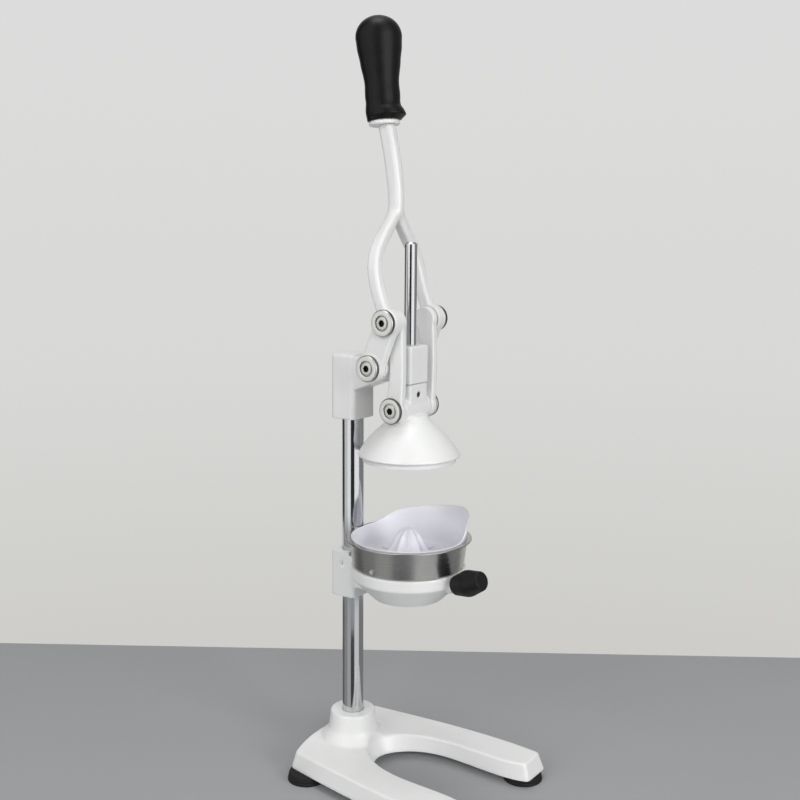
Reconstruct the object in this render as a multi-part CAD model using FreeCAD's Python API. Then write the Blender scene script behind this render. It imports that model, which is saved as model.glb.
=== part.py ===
import FreeCAD
import Part
import os
import math
from FreeCAD import Vector

# Lever press for lemons and oranges, millimetres.
# Z is up from the floor, the front is towards -Y, X points to the right.
# Every "front" value below is a distance in front of the column axis.
# The origin is on the floor, in the middle of the footprint.

# Base casting on four rubber feet.
FOOT_HEIGHT = 8.4
FOOT_R = 20.0
FOOT_TOP_R = 18.0
FOOT_SIDE = 64.0
FOOT_FRONT_SIDE = 67.0
FOOT_REAR = -8.0
FOOT_FRONT = 168.0
SOLE_BACK = 39.0
FOOT_STUD_R = 5.0
FOOT_STUD_H = 5.0
BASE_HEIGHT = 17.0
BASE_CORNER = 5.0
BASE_EDGE = 2.2
PEDESTAL_RISE = 28.2
PEDESTAL_R = 23.2
PEDESTAL_FOOT_R = 25.6
PEDESTAL_EDGE = 2.0
HUMP_R = 36.0
HUMP_RISE = 8.6
POCKET_DEPTH = 10.0
POCKET_ROUND = 4.0

# Column tube.
COLUMN_R = 11.0
COLUMN_WALL = 1.5
COLUMN_SEAT = 7.6
COLUMN_LENGTH = 404.0

# Head casting with the rod guide and the middle pivot.
HEAD_HALF = 18.0
HEAD_REAR = -15.0
HEAD_FRONT = 14.4
HEAD_HEIGHT = 65.5
HEAD_ROOF = 10.5
HEAD_ROUND = 5.0
ARM_HALF = 16.5
ARM_ROOT_DROP = 29.4
ARM_RISE = 15.6
GUIDE_HALF = 15.5
GUIDE_BACK = 12.0
GUIDE_AHEAD = 11.5
GUIDE_ABOVE = 20.2
GUIDE_BELOW = 16.0
GUIDE_ROUND = 3.0
CRANK_BACK = 18.0
CRANK_DROP = 8.1
CRANK_BOSS_R = 12.9
CRANK_BOSS_OUT = 31.2

# Lever linkage in the side view.
CRANK_RISE = 43.6
LINK_LENGTH = 84.0
LINK_IN = 22.0
LINK_THICK = 7.4
LINK_EYE_R = 12.0
LINK_WAIST = 15.4
LINK_BOW = 4.6
LINK_EDGE = 1.0
SPACER_THICK = 0.7
SIDE_GAP = 0.3
EYE_R = 13.4
LEG_WIDTH = 12.4
LEG_THICK = 10.9
LEG_ROUND = 3.2
WEB_SETBACK = 1.4
NECK_WIDTH = 15.5
NECK_THICK = 11.5
NECK_ROUND = 4.0

# Pivot hardware.
PIVOT_R = 5.0
RUN_CLEAR = 0.06
CAP_R = 12.6
CAP_THICK = 4.8
CAP_FLOOR = 1.6
CAP_POCKET_R = 8.4
CAP_EDGE = 1.0
LOW_CAP_THICK = 3.6
SCREW_HEAD_R = 6.5
SCREW_HEAD_DROP = 0.2
SCREW_TIP = 0.5
SOCKET_FLATS = 6.0
SOCKET_FLOOR = 0.6

# Rod, bell shaped press cup and its liner.
ROD_R = 6.0
ROD_ABOVE = 134.2
ROD_SINK = 27.0
ROD_CHAMFER = 1.6
NECK_TOP_GAP = 0.6
NECK_HALF = 15.0
NECK_SETBACK = 0.5
NECK_BOSS_R = 11.8
NECK_BOSS_GAP = 0.6
BELL_RIM_R = 50.2
BELL_RIM_DROP = 47.0
BELL_WALL = 3.6
LINER_WALL = 2.4
LINER_LIP_R = 45.4
LINER_DROP = 5.0
SET_SCREW_R = 3.0
SET_SCREW_SINK = 1.2
SET_SCREW_DROP = 10.3
SET_SOCKET_FLATS = 3.0
SET_SOCKET_DEPTH = 1.6

# Collar and grip on the lever.
GRIP_BACK = 32.3
GRIP_RISE = 186.8
GRIP_TILT = 5.3
COLLAR_R = 14.8
COLLAR_THICK = 4.0
TANG_R = 6.0
TANG_LENGTH = 60.0
GRIP_FOOT_R = 15.6
GRIP_WAIST_R = 16.2
GRIP_HEAD_R = 21.2
GRIP_LENGTH = 96.8
LIP_REACH = 4.0

# Holder clamped on the column, with its funnel ring.
HOLDER_TOP_Z = 229.0
HOLDER_HEIGHT = 48.0
HOLDER_HALF = 18.0
HOLDER_REAR = -15.0
HOLDER_FRONT = 14.4
HOLDER_ROUND = 4.0
HOLDER_SCREW_DROP = 13.0
RING_DROP = 4.0
RING_R = 57.0
RING_BAND = 11.0
SEAT_WIDTH = 9.0
FUNNEL_DEPTH = 32.5
FUNNEL_MOUTH_R = 31.0
FUNNEL_WALL = 4.0

# Steel cup with its out-turned rim and its rivet.
CUP_HEIGHT = 28.4
CUP_TOP_R = 58.3
CUP_BOTTOM_R = 55.0
CUP_RIM_R = 62.5
CUP_WALL = 1.2
CUP_FLOOR_HOLE_R = 46.0
CUP_AIR = 1.0
COLUMN_AIR = 0.7
PIN_ANGLE = 183.0
PIN_RISE = 5.0
PIN_R = 2.2
PIN_HOLE_R = 1.5
PIN_HEAD = 1.2

# Strainer insert with its raised splash guard.
INSERT_CLEAR = 0.35
INSERT_WALL = 1.8
INSERT_FLOOR_RISE = 5.0
INSERT_LIP_RISE = 0.8
CONE_R = 25.0
CONE_TIP_R = 5.0
CONE_HEIGHT = 32.0
FLUTES = 10
FLUTE_R = 3.4
SLOTS = 24
SLOT_WIDTH = 2.2
SLOT_LENGTH = 14.0
GUARD_FLARE = 0.16
GUARD_ROOT = 6.0

# Handle of the holder: a boss on the ring, a stem and a turned knob.
HANDLE_ANGLE = 96.0
HANDLE_TILT = 21.0
HANDLE_BELOW = 10.1
HANDLE_BOSS_R = 6.4
HANDLE_BOSS_IN = 6.0
STEM_R = 4.0
STEM_SINK = 5.0
STEM_IN_KNOB = 18.0
KNOB_GAP = 3.1
KNOB_LENGTH = 35.0
KNOB_R = 12.7
KNOB_END_R = 9.2
KNOB_EDGE = 1.4

# Middle of the footprint, in front of the column axis.
CENTRE_FRONT = (FOOT_FRONT + FOOT_R - SOLE_BACK) / 2.0

# Heights above the floor that follow from the sizes above.
BASE_TOP_Z = FOOT_HEIGHT + BASE_HEIGHT
PEDESTAL_TOP_Z = BASE_TOP_Z + PEDESTAL_RISE
COLUMN_FOOT_Z = FOOT_HEIGHT + COLUMN_SEAT
COLUMN_TOP_Z = COLUMN_FOOT_Z + COLUMN_LENGTH
HEAD_TOP_Z = COLUMN_TOP_Z + HEAD_ROOF
HEAD_BOTTOM_Z = HEAD_TOP_Z - HEAD_HEIGHT
CRANK_Z = HEAD_TOP_Z - CRANK_DROP
UPPER_Z = CRANK_Z + CRANK_RISE
LOWER_Z = UPPER_Z - LINK_LENGTH
GUIDE_TOP_Z = CRANK_Z + GUIDE_ABOVE
GUIDE_BOTTOM_Z = CRANK_Z - GUIDE_BELOW
NECK_TOP_Z = GUIDE_BOTTOM_Z - NECK_TOP_GAP
BELL_RIM_Z = LOWER_Z - BELL_RIM_DROP
ROD_FOOT_Z = NECK_TOP_Z - ROD_SINK
SET_SCREW_Z = NECK_TOP_Z - SET_SCREW_DROP
HOLDER_BOTTOM_Z = HOLDER_TOP_Z - HOLDER_HEIGHT
HOLDER_SCREW_Z = HOLDER_TOP_Z - HOLDER_SCREW_DROP
RING_TOP_Z = HOLDER_TOP_Z - RING_DROP
CUP_TOP_Z = RING_TOP_Z + CUP_HEIGHT
INSERT_FLOOR_Z = RING_TOP_Z + INSERT_FLOOR_RISE
INSERT_LIP_Z = CUP_TOP_Z + INSERT_LIP_RISE

# Side view places and layers that follow from the sizes above.
AXIS_FRONT = COLUMN_R + COLUMN_AIR + CUP_TOP_R
CRANK_FRONT = AXIS_FRONT - CRANK_BACK
GUIDE_REAR = AXIS_FRONT - GUIDE_BACK
GUIDE_FRONT = AXIS_FRONT + GUIDE_AHEAD
LINK_OUT = LINK_IN + LINK_THICK
NECK_BOSS_OUT = LINK_IN - NECK_BOSS_GAP
UPPER_BOSS_IN = LINK_OUT + SPACER_THICK + SIDE_GAP
CRANK_LOBE_IN = CRANK_BOSS_OUT + SPACER_THICK + SIDE_GAP
BOSS_OUT = UPPER_BOSS_IN + LEG_THICK
LEG_CENTRE = UPPER_BOSS_IN + LEG_THICK / 2.0
CAP_START = BOSS_OUT + SIDE_GAP


def at(side, front, height):
    return Vector(side, CENTRE_FRONT - front, height)


def rod(radius, start, direction, length):
    return Part.makeCylinder(radius, length, start, direction)


def across(radius, front, height, inner, outer, sign=1):
    start = at(sign * inner, front, height)
    return rod(radius, start, Vector(sign, 0, 0), outer - inner)


def upright(radius, front, low, high):
    return rod(radius, at(0, front, low), Vector(0, 0, 1), high - low)


def join(shapes):
    body = shapes[0]
    for shape in shapes[1:]:
        body = body.fuse(shape)
    return body


def fuse(shapes):
    return join(shapes).removeSplitter()


def block(half, rear, front, low, high):
    corner = at(-half, front, low)
    return Part.makeBox(2.0 * half, front - rear, high - low, corner)


def spline(points):
    curve = Part.BSplineCurve()
    curve.interpolate(points)
    return curve.toShape()


# Edges of a turned profile: points are (radius, height along the axis).
def straight(a, b):
    return Part.makeLine(Vector(a[0], 0, a[1]), Vector(b[0], 0, b[1]))


def bent(a, middle, b):
    ends = [Vector(p[0], 0, p[1]) for p in (a, middle, b)]
    return Part.Arc(ends[0], ends[1], ends[2]).toShape()


# A round end that closes a turned profile on its axis.
def dome(edge, top):
    rise = top - edge[1]
    radius = (edge[0] ** 2 + rise ** 2) / (2.0 * rise)
    half = math.asin(edge[0] / radius) / 2.0
    middle = (radius * math.sin(half), top - radius + radius * math.cos(half))
    return bent(edge, middle, (0, top))


def turned(edges):
    face = Part.Face(Part.Wire(edges))
    return face.revolve(Vector(0, 0, 0), Vector(0, 0, 1), 360.0)


def revolve(points, front):
    corners = [Vector(r, 0, z) for r, z in points]
    face = Part.Face(Part.makePolygon(corners + corners[:1]))
    solid = face.revolve(Vector(0, 0, 0), Vector(0, 0, 1), 360.0)
    solid.translate(at(0, front, 0))
    return solid


def mirrored(shape):
    return shape.mirror(Vector(0, 0, 0), Vector(1, 0, 0))


def both_sides(shape):
    return Part.makeCompound([shape, mirrored(shape)])


def hexagon(flats, start, direction, length):
    radius = flats / math.sqrt(3.0)
    points = []
    for step in range(7):
        angle = math.radians(60.0 * step)
        points.append(Vector(radius * math.cos(angle), radius * math.sin(angle), 0))
    prism = Part.Face(Part.makePolygon(points)).extrude(Vector(0, 0, length))
    prism.Placement = FreeCAD.Placement(start, FreeCAD.Rotation(Vector(0, 0, 1), direction))
    return prism


def upright_edges(shape):
    found = []
    for edge in shape.Edges:
        box = edge.BoundBox
        if box.XLength < 0.01 and box.YLength < 0.01:
            found.append(edge)
    return found


def edges_above(shape, height):
    return [edge for edge in shape.Edges if edge.BoundBox.ZMin > height - 0.01]


# Plan of the base: half outlines of the deck and of the foot line (side, front).
DECK_REAR = [(0.0, -35.0), (33.0, -32.0), (66.5, -21.5)]
DECK_SIDE = [(66.5, -21.5), (75.0, 40.0), (81.5, 108.0), (80.5, 179.5)]
DECK_INNER = [(0.0, 27.0), (21.5, 37.0), (38.8, 65.0), (44.3, 102.0), (50.0, 180.0)]
SOLE_REAR = [(0.0, -SOLE_BACK), (35.0, 3.4 - SOLE_BACK), (70.2, 14.5 - SOLE_BACK)]
SOLE_SIDE = [(70.2, 14.5 - SOLE_BACK), (79.5, 40.0), (85.5, 108.0), (83.5, 185.5)]
SOLE_INNER = [(0.0, 35.0), (20.5, 44.0), (37.0, 67.0), (43.0, 102.0), (48.6, 185.0)]


def outline(rear, side, inner, height):
    right_side = [at(x, f, height) for x, f in side]
    left_side = [at(-x, f, height) for x, f in reversed(side)]
    middle = [at(x, f, height) for x, f in reversed(inner)]
    middle = middle + [at(-x, f, height) for x, f in inner[1:]]
    back = [at(-x, f, height) for x, f in reversed(rear[1:])]
    back = back + [at(x, f, height) for x, f in rear]
    edges = [spline(back), spline(right_side)]
    edges.append(Part.makeLine(right_side[-1], middle[0]))
    edges.append(spline(middle))
    edges.append(Part.makeLine(middle[-1], left_side[0]))
    edges.append(spline(left_side))
    return Part.Wire(edges)


def base_legs():
    sole = outline(SOLE_REAR, SOLE_SIDE, SOLE_INNER, FOOT_HEIGHT)
    deck = outline(DECK_REAR, DECK_SIDE, DECK_INNER, BASE_TOP_Z)
    legs = Part.makeLoft([sole, deck], True, True)
    corners = []
    for edge in legs.Edges:
        box = edge.BoundBox
        if box.ZLength > BASE_HEIGHT - 0.1 and abs(edge.CenterOfMass.x) > PEDESTAL_FOOT_R:
            if box.YLength < BASE_HEIGHT:
                corners.append(edge)
    legs = legs.makeFillet(BASE_CORNER, corners)
    return legs.makeFillet(BASE_EDGE, edges_above(legs, BASE_TOP_Z))


def base_hump():
    deck = Part.Face(outline(DECK_REAR, DECK_SIDE, DECK_INNER, FOOT_HEIGHT + BASE_EDGE))
    prism = deck.extrude(Vector(0, 0, BASE_HEIGHT + HUMP_RISE))
    foot_z = BASE_TOP_Z + HUMP_RISE
    sink = BASE_EDGE
    cone = Part.makeCone(HUMP_R, PEDESTAL_FOOT_R, HUMP_RISE + sink, at(0, 0, BASE_TOP_Z - sink))
    post = Part.makeCone(PEDESTAL_FOOT_R, PEDESTAL_R, PEDESTAL_TOP_Z - foot_z, at(0, 0, foot_z))
    post = post.makeFillet(PEDESTAL_EDGE, edges_above(post, PEDESTAL_TOP_Z))
    return [cone.common(prism), post]


# Hollows in the underside, seen from below: corners as (side, front).
LEG_POCKET = [(55.5, 24.0), (68.0, 24.0), (72.5, 146.0), (56.5, 146.0), (51.0, 96.0)]
REAR_POCKET = [(-44.0, -22.0), (44.0, -22.0), (44.0, 2.0), (34.0, 22.0), (25.0, 22.0),
               (19.0, -14.0), (-19.0, -14.0), (-25.0, 22.0), (-34.0, 22.0), (-44.0, 2.0)]


def pocket(corners):
    line = [at(side, front, FOOT_HEIGHT - 1.0) for side, front in corners]
    prism = Part.Face(Part.makePolygon(line + line[:1])).extrude(Vector(0, 0, POCKET_DEPTH + 1.0))
    return prism.makeFillet(POCKET_ROUND, upright_edges(prism))


def foot_places():
    places = []
    for sign in (-1, 1):
        places.append(at(sign * FOOT_SIDE, FOOT_REAR, 0))
        places.append(at(sign * FOOT_FRONT_SIDE, FOOT_FRONT, 0))
    return places


def base_frame():
    body = fuse([base_legs()] + base_hump())
    body = body.cut(upright(COLUMN_R, 0, COLUMN_FOOT_Z, PEDESTAL_TOP_Z + 1.0))
    for place in foot_places():
        stud = rod(FOOT_STUD_R, place, Vector(0, 0, 1), FOOT_HEIGHT + FOOT_STUD_H)
        body = body.cut(stud)
    leg = pocket(LEG_POCKET)
    return body.cut(leg).cut(mirrored(leg)).cut(pocket(REAR_POCKET))


def rubber_feet():
    feet = []
    for place in foot_places():
        disc = Part.makeCone(FOOT_R, FOOT_TOP_R, FOOT_HEIGHT, place)
        stud = rod(FOOT_STUD_R, place, Vector(0, 0, 1), FOOT_HEIGHT + FOOT_STUD_H)
        feet.append(fuse([disc, stud]))
    return Part.makeCompound(feet)


def column_tube():
    tube = upright(COLUMN_R, 0, COLUMN_FOOT_Z, COLUMN_TOP_Z)
    return tube.cut(upright(COLUMN_R - COLUMN_WALL, 0, COLUMN_FOOT_Z - 1.0, COLUMN_TOP_Z + 1.0))


# Side view of the arm between column and guide: (front, height over the middle pivot).
def head_arm():
    root = HEAD_FRONT - 6.0
    bend = CRANK_FRONT - 5.0
    end = GUIDE_REAR + 4.0
    low = GUIDE_BOTTOM_Z + 1.2
    points = [(root, CRANK_Z - ARM_ROOT_DROP), (bend, low), (end, low), (end, CRANK_Z + ARM_RISE),
              (bend, CRANK_Z + ARM_RISE - 3.0), (root, HEAD_TOP_Z - HEAD_ROUND + 1.0)]
    line = [at(-ARM_HALF, f, z) for f, z in points]
    face = Part.Face(Part.makePolygon(line + line[:1]))
    return face.extrude(Vector(2.0 * ARM_HALF, 0, 0))


def head_casting():
    rear = block(HEAD_HALF, HEAD_REAR, HEAD_FRONT, HEAD_BOTTOM_Z, HEAD_TOP_Z)
    rear = rear.makeFillet(HEAD_ROUND, upright_edges(rear))
    rear = rear.makeFillet(HEAD_ROUND - 1.0, edges_above(rear, HEAD_TOP_Z))
    guide = block(GUIDE_HALF, GUIDE_REAR, GUIDE_FRONT, GUIDE_BOTTOM_Z, GUIDE_TOP_Z)
    guide = guide.makeFillet(GUIDE_ROUND, upright_edges(guide))
    guide = guide.makeFillet(GUIDE_ROUND - 1.0, edges_above(guide, GUIDE_TOP_Z))
    boss = across(CRANK_BOSS_R, CRANK_FRONT, CRANK_Z, -CRANK_BOSS_OUT, CRANK_BOSS_OUT)
    body = fuse([rear, head_arm(), guide, boss])
    body = body.cut(upright(COLUMN_R, 0, HEAD_BOTTOM_Z - 1.0, COLUMN_TOP_Z))
    bore = upright(ROD_R + RUN_CLEAR, AXIS_FRONT, GUIDE_BOTTOM_Z - 1.0, GUIDE_TOP_Z + 1.0)
    body = body.cut(bore)
    for sign in (-1, 1):
        body = body.cut(across(PIVOT_R, CRANK_FRONT, CRANK_Z, LINK_IN, CRANK_BOSS_OUT + 1.0, sign))
    return body


def guide_rod():
    body = upright(ROD_R, AXIS_FRONT, ROD_FOOT_Z, NECK_TOP_Z + ROD_ABOVE)
    return body.makeChamfer(ROD_CHAMFER, edges_above(body, NECK_TOP_Z + ROD_ABOVE))


# Bell profile: (radius, height above the rim); the second list ends at the rim.
BELL_SHOULDER = [(17.0, 41.0), (20.0, 36.4), (24.6, 31.4)]
BELL_SIDE = [(24.6, 31.4), (38.6, 18.0), (BELL_RIM_R, 1.6)]


def bell_body(wall, foot_z):
    inwards = wall / 3.0
    down = wall * 7.0 / 6.0
    shoulder = [(r - inwards, BELL_RIM_Z + z - down) for r, z in BELL_SHOULDER]
    side = [(r - inwards, BELL_RIM_Z + z - down) for r, z in BELL_SIDE]
    edges = [bent(shoulder[0], shoulder[1], shoulder[2]), bent(side[0], side[1], side[2])]
    edges.append(straight(side[2], (side[2][0], foot_z)))
    edges.append(straight((side[2][0], foot_z), (0, foot_z)))
    edges.append(straight((0, foot_z), (0, shoulder[0][1])))
    edges.append(straight((0, shoulder[0][1]), shoulder[0]))
    body = turned(edges)
    body.translate(at(0, AXIS_FRONT, 0))
    return body


def press_cup():
    bell = bell_body(0.0, BELL_RIM_Z)
    cavity = bell_body(BELL_WALL, BELL_RIM_Z - 10.0)
    neck = block(NECK_HALF, GUIDE_REAR + 1.0, GUIDE_FRONT - NECK_SETBACK, BELL_RIM_Z + 29.0,
                 NECK_TOP_Z)
    neck = neck.makeFillet(GUIDE_ROUND, upright_edges(neck))
    boss = across(NECK_BOSS_R, AXIS_FRONT, LOWER_Z, -NECK_BOSS_OUT, NECK_BOSS_OUT)
    body = fuse([bell, neck, boss]).cut(cavity)
    body = body.cut(upright(ROD_R, AXIS_FRONT, ROD_FOOT_Z, NECK_TOP_Z + 1.0))
    hole = rod(SET_SCREW_R, at(0, AXIS_FRONT + ROD_R, SET_SCREW_Z), Vector(0, -1, 0), 20.0)
    return body.cut(hole)


def neck_set_screw():
    start = AXIS_FRONT + ROD_R
    end = GUIDE_FRONT - NECK_SETBACK - SET_SCREW_SINK
    body = rod(SET_SCREW_R, at(0, start, SET_SCREW_Z), Vector(0, -1, 0), end - start)
    socket = hexagon(SET_SOCKET_FLATS, at(0, end - SET_SOCKET_DEPTH, SET_SCREW_Z),
                     Vector(0, -1, 0), SET_SOCKET_DEPTH + 1.0)
    return body.cut(socket)


def press_liner():
    low = BELL_RIM_Z - LINER_DROP
    high = NECK_TOP_Z
    outer = bell_body(BELL_WALL, low)
    outer = outer.common(upright(LINER_LIP_R, AXIS_FRONT, low, high))
    inner = bell_body(BELL_WALL + LINER_WALL, low - 1.0)
    inner = inner.common(upright(LINER_LIP_R - LINER_WALL, AXIS_FRONT, low - 1.0, high))
    return outer.cut(inner)


# Rounded rectangle across a path: width along "up", thickness along "right".
def ring_wire(centre, right, up, thick, width, radius):
    half_w = thick / 2.0
    half_h = width / 2.0
    bend = radius * (1.0 - math.sqrt(0.5))
    ends = []
    for sx, sy in ((1, 1), (-1, 1), (-1, -1), (1, -1)):
        a = centre + right * (sx * half_w) + up * (sy * (half_h - radius))
        m = centre + right * (sx * (half_w - bend)) + up * (sy * (half_h - bend))
        b = centre + right * (sx * (half_w - radius)) + up * (sy * half_h)
        if sx * sy < 0:
            a, b = b, a
        ends.append((a, m, b))
    edges = []
    for index in range(4):
        a, m, b = ends[index]
        edges.append(Part.Arc(a, m, b).toShape())
        edges.append(Part.makeLine(b, ends[(index + 1) % 4][0]))
    return Part.Wire(edges)


# Lever centre lines seen from the upper pivot: share of the leg's side, front, height.
LEG_LINE = [(1.0, -2.5, 6.0), (1.0, -8.4, 20.0), (1.0, -14.1, 38.0), (0.94, -17.2, 55.0),
            (0.76, -18.6, 68.5), (0.525, -18.8, 79.5), (0.262, -18.5, 91.0), (0.06, -17.9, 102.0)]
NECK_LINE = [(0.0, -18.1, 100.0), (0.0, -17.6, 112.0), (0.0, -19.4, 134.0),
             (0.0, -24.6, 163.0), (0.0, -31.2, 188.0)]
LEG_STATIONS = 13
NECK_STATIONS = 9


def lever_place(share, front, height):
    return at(share * LEG_CENTRE, AXIS_FRONT + front, UPPER_Z + height)


def swept_bar(line, count, thick, width, radius):
    curve = Part.BSplineCurve()
    curve.interpolate([lever_place(x, f, z) for x, f, z in line])
    span = curve.LastParameter - curve.FirstParameter
    wires = []
    for step in range(count):
        place = curve.FirstParameter + span * step / (count - 1)
        along = curve.tangent(place)[0].normalize()
        side = along.cross(Vector(0, -1, 0)).normalize()
        ahead = side.cross(along).normalize()
        wires.append(ring_wire(curve.value(place), side, ahead, thick, width, radius))
    return Part.makeLoft(wires, True, True)


def tangent_plate(p, q, radius, inner, outer):
    base = math.atan2(q[1] - p[1], q[0] - p[0])
    quarter = math.radians(90.0)
    points = []
    for centre, angle in ((p, base + quarter), (q, base + quarter), (q, base - quarter),
                          (p, base - quarter)):
        points.append(at(inner, centre[0] + radius * math.cos(angle),
                         centre[1] + radius * math.sin(angle)))
    face = Part.Face(Part.makePolygon(points + points[:1]))
    return face.extrude(Vector(outer - inner, 0, 0))


def lever_side():
    leg = swept_bar(LEG_LINE, LEG_STATIONS, LEG_THICK, LEG_WIDTH, LEG_ROUND)
    boss = across(EYE_R, AXIS_FRONT, UPPER_Z, UPPER_BOSS_IN, BOSS_OUT)
    lobe = across(EYE_R, CRANK_FRONT, CRANK_Z, CRANK_LOBE_IN, BOSS_OUT)
    web = tangent_plate((AXIS_FRONT, UPPER_Z), (CRANK_FRONT, CRANK_Z), EYE_R - WEB_SETBACK,
                        CRANK_LOBE_IN, BOSS_OUT - WEB_SETBACK / 2.0)
    side = join([leg, boss, lobe, web])
    for front, height in ((AXIS_FRONT, UPPER_Z), (CRANK_FRONT, CRANK_Z)):
        side = side.cut(across(PIVOT_R + RUN_CLEAR, front, height, LINK_IN, BOSS_OUT + 1.0))
    return side


def grip_axis():
    tilt = math.radians(GRIP_TILT)
    return Vector(0, math.sin(tilt), math.cos(tilt))


def grip_foot():
    return at(0, AXIS_FRONT - GRIP_BACK, UPPER_Z + GRIP_RISE)


def lever_casting():
    neck = swept_bar(NECK_LINE, NECK_STATIONS, NECK_THICK, NECK_WIDTH, NECK_ROUND)
    seat = grip_foot() - grip_axis() * COLLAR_THICK
    neck = neck.cut(rod(COLLAR_R, seat, grip_axis(), TANG_LENGTH))
    tang = rod(TANG_R, seat - grip_axis() * 3.0, grip_axis(), TANG_LENGTH + COLLAR_THICK + 3.0)
    side = lever_side()
    return join([neck, side, mirrored(side), tang])


def grip_collar():
    start = grip_foot() - grip_axis() * COLLAR_THICK
    body = rod(COLLAR_R, start, grip_axis(), COLLAR_THICK)
    body = body.makeChamfer(0.8, [body.Edges[0], body.Edges[2]])
    return body.cut(rod(TANG_R, start - grip_axis(), grip_axis(), COLLAR_THICK + 2.0))


def grip_bulb():
    wide = GRIP_LENGTH * 0.76
    crown = GRIP_LENGTH * 0.955
    foot = (GRIP_FOOT_R, 0.0)
    waist = (GRIP_WAIST_R, GRIP_LENGTH * 0.186)
    middle = ((GRIP_WAIST_R + GRIP_HEAD_R) / 2.0, GRIP_LENGTH * 0.434)
    head = (GRIP_HEAD_R, wide)
    shoulder = (GRIP_HEAD_R * 0.65, crown)
    edges = [straight((0, 0), foot), straight(foot, waist), bent(waist, middle, head)]
    edges.append(bent(head, (GRIP_HEAD_R * 0.925, GRIP_LENGTH * 0.885), shoulder))
    edges.append(dome(shoulder, GRIP_LENGTH))
    edges.append(straight((0, GRIP_LENGTH), (0, 0)))
    return turned(edges)


def grip():
    rings = []
    for radius, ahead, height in ((GRIP_FOOT_R - 0.4, 0.2, 0.5), (GRIP_FOOT_R + 1.4, 1.0, 4.5),
                                  (GRIP_WAIST_R, 0.55, 9.5), (GRIP_WAIST_R - 1.0, 0.0, 15.0)):
        rings.append(Part.Wire(Part.makeCircle(radius, Vector(0, -LIP_REACH * ahead, height))))
    body = fuse([grip_bulb(), Part.makeLoft(rings, True, True)])
    body = body.cut(rod(TANG_R, Vector(0, 0, -1), Vector(0, 0, 1), TANG_LENGTH + 1.0))
    turn = FreeCAD.Rotation(Vector(0, 0, 1), grip_axis())
    body.Placement = FreeCAD.Placement(grip_foot(), turn)
    return body


def bow_edge(end, middle):
    places = [at(LINK_IN, AXIS_FRONT + end, UPPER_Z)]
    places.append(at(LINK_IN, AXIS_FRONT + middle, (UPPER_Z + LOWER_Z) / 2.0))
    places.append(at(LINK_IN, AXIS_FRONT + end, LOWER_Z))
    return places


def link_plate():
    end = LINK_EYE_R - 1.5
    front = bow_edge(end, LINK_BOW + LINK_WAIST / 2.0)
    rear = bow_edge(-end, LINK_BOW - LINK_WAIST / 2.0)
    edges = [Part.Arc(front[0], front[1], front[2]).toShape(), Part.makeLine(front[2], rear[2])]
    edges.append(Part.Arc(rear[2], rear[1], rear[0]).toShape())
    edges.append(Part.makeLine(rear[0], front[0]))
    shapes = [Part.Face(Part.Wire(edges)).extrude(Vector(LINK_THICK, 0, 0))]
    for height in (UPPER_Z, LOWER_Z):
        shapes.append(across(LINK_EYE_R, AXIS_FRONT, height, LINK_IN, LINK_OUT))
    eased = []
    for shape in shapes:
        rims = [edge for edge in shape.Edges if edge.BoundBox.XLength < 0.01]
        eased.append(shape.makeChamfer(LINK_EDGE, rims))
    body = fuse(eased)
    for height in (UPPER_Z, LOWER_Z):
        body = body.cut(across(PIVOT_R, AXIS_FRONT, height, LINK_IN - 1.0, LINK_OUT + 1.0))
    return body


def link_left():
    return mirrored(link_plate())


def pivot_cap(front, height, inner, thick):
    outer = inner + thick
    body = across(CAP_R, front, height, inner, outer)
    rim = [edge for edge in body.Edges if edge.BoundBox.XMin > outer - 0.01]
    body = body.makeChamfer(CAP_EDGE, rim)
    groove = across(CAP_R - 2.2, front, height, outer - 0.5, outer + 1.0)
    core = across(CAP_R - 3.0, front, height, outer - 1.0, outer + 2.0)
    pocket = across(CAP_POCKET_R, front, height, inner + CAP_FLOOR, outer + 1.0)
    bore = across(PIVOT_R, front, height, inner - 1.0, outer + 1.0)
    return body.cut(groove.cut(core)).cut(pocket).cut(bore)


def pivot_screw(front, height, start, cap_inner, cap_thick):
    floor = cap_inner + CAP_FLOOR
    face = cap_inner + cap_thick - SCREW_HEAD_DROP
    shank = across(PIVOT_R, front, height, start, floor + 0.2)
    head = across(SCREW_HEAD_R, front, height, floor, face)
    socket = hexagon(SOCKET_FLATS, at(floor + SOCKET_FLOOR, front, height), Vector(1, 0, 0),
                     CAP_THICK)
    return fuse([shank, head]).cut(socket)


def upper_caps():
    return both_sides(pivot_cap(AXIS_FRONT, UPPER_Z, CAP_START, CAP_THICK))


def middle_caps():
    return both_sides(pivot_cap(CRANK_FRONT, CRANK_Z, CAP_START, CAP_THICK))


def lower_caps():
    return both_sides(pivot_cap(AXIS_FRONT, LOWER_Z, LINK_OUT, LOW_CAP_THICK))


def upper_screws():
    return both_sides(pivot_screw(AXIS_FRONT, UPPER_Z, LINK_IN, CAP_START, CAP_THICK))


def middle_screws():
    start = LINK_IN + SCREW_TIP
    return both_sides(pivot_screw(CRANK_FRONT, CRANK_Z, start, CAP_START, CAP_THICK))


def lower_screws():
    start = NECK_BOSS_OUT + SIDE_GAP
    return both_sides(pivot_screw(AXIS_FRONT, LOWER_Z, start, LINK_OUT, LOW_CAP_THICK))


def spacer(front, height, inner):
    ring = across(CAP_R - 1.0, front, height, inner, inner + SPACER_THICK)
    return ring.cut(across(PIVOT_R, front, height, inner - 1.0, inner + 2.0))


def upper_spacers():
    return both_sides(spacer(AXIS_FRONT, UPPER_Z, LINK_OUT))


def middle_spacers():
    return both_sides(spacer(CRANK_FRONT, CRANK_Z, CRANK_BOSS_OUT))


def handle_axis():
    turn = math.radians(HANDLE_ANGLE)
    tilt = math.radians(HANDLE_TILT)
    flat = math.cos(tilt)
    return Vector(math.cos(turn) * flat, -math.sin(turn) * flat, math.sin(tilt))


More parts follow.
